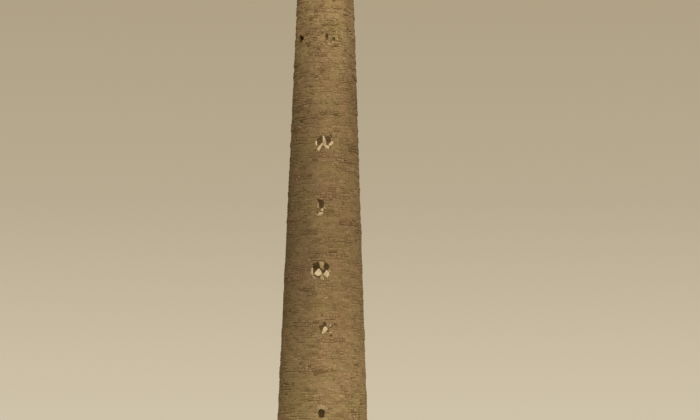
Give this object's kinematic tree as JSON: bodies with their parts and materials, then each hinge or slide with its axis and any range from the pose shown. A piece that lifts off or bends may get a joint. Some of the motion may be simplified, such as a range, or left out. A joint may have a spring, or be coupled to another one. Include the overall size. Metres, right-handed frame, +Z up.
{
  "type": "round tapering rubble masonry tower",
  "caption": "Tall slender round tower of coursed rubble, hollow, with pierced rosettes and small lights, an arched doorway, two floors and a conical stone cap.",
  "frame": {"origin": "centre of the ground floor slab's underside, at ground level, on the tower's axis", "axes": "+Z up; the front with the doorway and the rosettes faces -Y; +X to the right seen from the front"},
  "size_m": [4.78, 4.82, 33.34],
  "materials": {
    "rubble": "rough coursed rubble in lime mortar",
    "pale_stone": "split pale limestone",
    "floor_stone": "worn stone flags"
  },
  "bodies": {
    "root": {"base_wall_door_pier_left": "rubble", "base_wall_door_pier_right": "rubble", "base_wall_over_door": "rubble", "base_wall_right": "rubble", "base_wall_back": "rubble", "base_wall_left": "rubble", "lower_wall_front": "rubble", "lower_wall_right": "rubble", "lower_wall_back": "rubble", "lower_wall_left": "rubble", "middle_wall_front": "rubble", "middle_wall_right": "rubble", "middle_wall_back": "rubble", "middle_wall_left": "rubble", "high_wall_front": "rubble", "high_wall_right": "rubble", "high_wall_back": "rubble", "high_wall_left": "rubble", "upper_wall_front": "rubble", "upper_wall_right": "rubble", "upper_wall_back": "rubble", "upper_wall_left": "rubble", "lookout_wall_front": "rubble", "lookout_wall_right": "rubble", "lookout_wall_back": "rubble", "lookout_wall_left": "rubble", "top_wall_front": "rubble", "top_wall_right": "rubble", "top_wall_back": "rubble", "top_wall_left": "rubble", "door_jamb_left": "pale_stone", "door_jamb_right": "pale_stone", "door_arch": "pale_stone", "door_threshold": "pale_stone", "ground_floor": "floor_stone", "lookout_floor": "floor_stone", "first_light_hood": "pale_stone", "second_light_leaning_stone": "pale_stone", "lower_rosette_top_wedge": "pale_stone", "lower_rosette_left_stone": "pale_stone", "lower_rosette_left_diamond": "pale_stone", "lower_rosette_right_diamond": "pale_stone", "lower_rosette_sill": "pale_stone", "third_light_sill": "pale_stone", "upper_rosette_mullion": "pale_stone", "upper_rosette_left_leg": "pale_stone", "upper_rosette_right_leg": "pale_stone", "upper_rosette_left_stone": "pale_stone", "upper_rosette_right_stone": "pale_stone", "eaves_course": "rubble", "cap_lower": "rubble", "cap_upper": "rubble", "capstone": "pale_stone"}
  },
  "joints": []
}
